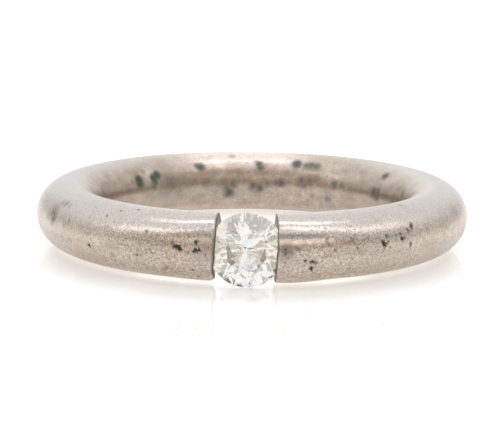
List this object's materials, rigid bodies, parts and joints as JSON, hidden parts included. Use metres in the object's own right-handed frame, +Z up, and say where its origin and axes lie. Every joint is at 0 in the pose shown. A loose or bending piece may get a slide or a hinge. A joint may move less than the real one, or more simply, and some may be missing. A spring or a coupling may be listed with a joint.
{
  "type": "finger ring with a stone held between the band's cut ends",
  "caption": "Finger ring of thick round silver wire, cut open at the front, with a round brilliant-cut clear stone clamped between its ends.",
  "frame": {"origin": "on the ring's own axis, at the level of the surface that the ring lies on, which is the lowest point of the stone's girdle", "axes": "+Z up, along the ring's own axis; -Y towards the cut and the stone; +X to the right as seen from the stone's side"},
  "size_m": [0.0246, 0.0245, 0.0039],
  "materials": {
    "aged_silver": "satin",
    "clear_stone": "polished"
  },
  "bodies": {
    "root": {"band": "aged_silver", "stone": "clear_stone"}
  },
  "joints": []
}
